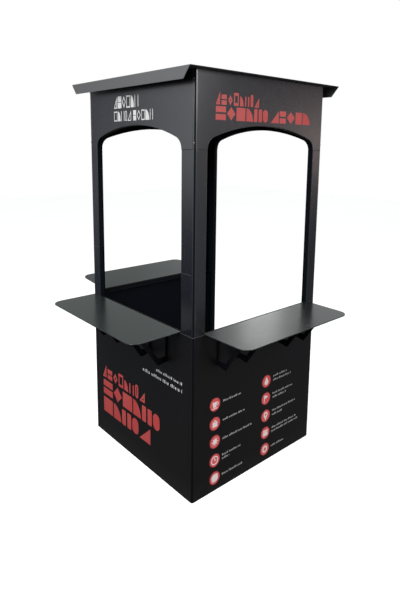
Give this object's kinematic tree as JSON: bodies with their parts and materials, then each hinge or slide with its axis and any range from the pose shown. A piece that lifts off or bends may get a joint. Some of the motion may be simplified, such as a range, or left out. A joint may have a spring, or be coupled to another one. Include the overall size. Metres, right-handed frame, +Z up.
{
  "type": "street kiosk",
  "caption": "Square street kiosk of folded sheet steel with a flat roof, arched window openings and bracketed counters on its closed sides, and one open side for entry.",
  "frame": {"origin": "on the ground, at the middle of the outline's bounding box, which reaches from the left counter to the roof's right flange; the body's own middle is at x = +0.104 m", "axes": "+X towards the open entry side, -Y towards the front counter, -X towards the left counter, +Y towards the back counter, +Z up"},
  "size_m": [1.2604, 1.468, 2.052],
  "materials": {
    "panel_black": "matte black powder coat",
    "post_charcoal": "satin charcoal powder coat",
    "header_charcoal": "satin charcoal powder coat",
    "roof_grey": "satin grey powder coat",
    "counter_satin": "semi-gloss grey powder coat",
    "bracket_black": "black powder coat"
  },
  "bodies": {
    "root": {"front_panel": "panel_black", "left_panel": "panel_black", "back_panel": "panel_black", "entry_jamb_front": "panel_black", "entry_jamb_back": "panel_black", "front_left_post": "post_charcoal", "front_right_post": "post_charcoal", "back_left_post": "post_charcoal", "back_right_post": "post_charcoal", "front_header": "header_charcoal", "left_header": "header_charcoal", "back_header": "header_charcoal", "right_header": "header_charcoal", "roof_sheet": "roof_grey", "front_counter": "counter_satin", "left_counter": "counter_satin", "back_counter": "counter_satin", "front_counter_rail": "bracket_black", "left_counter_rail": "bracket_black", "back_counter_rail": "bracket_black", "front_bracket_left": "bracket_black", "front_bracket_right": "bracket_black", "left_bracket_front": "bracket_black", "left_bracket_back": "bracket_black", "back_bracket_left": "bracket_black", "back_bracket_right": "bracket_black"}
  },
  "joints": []
}
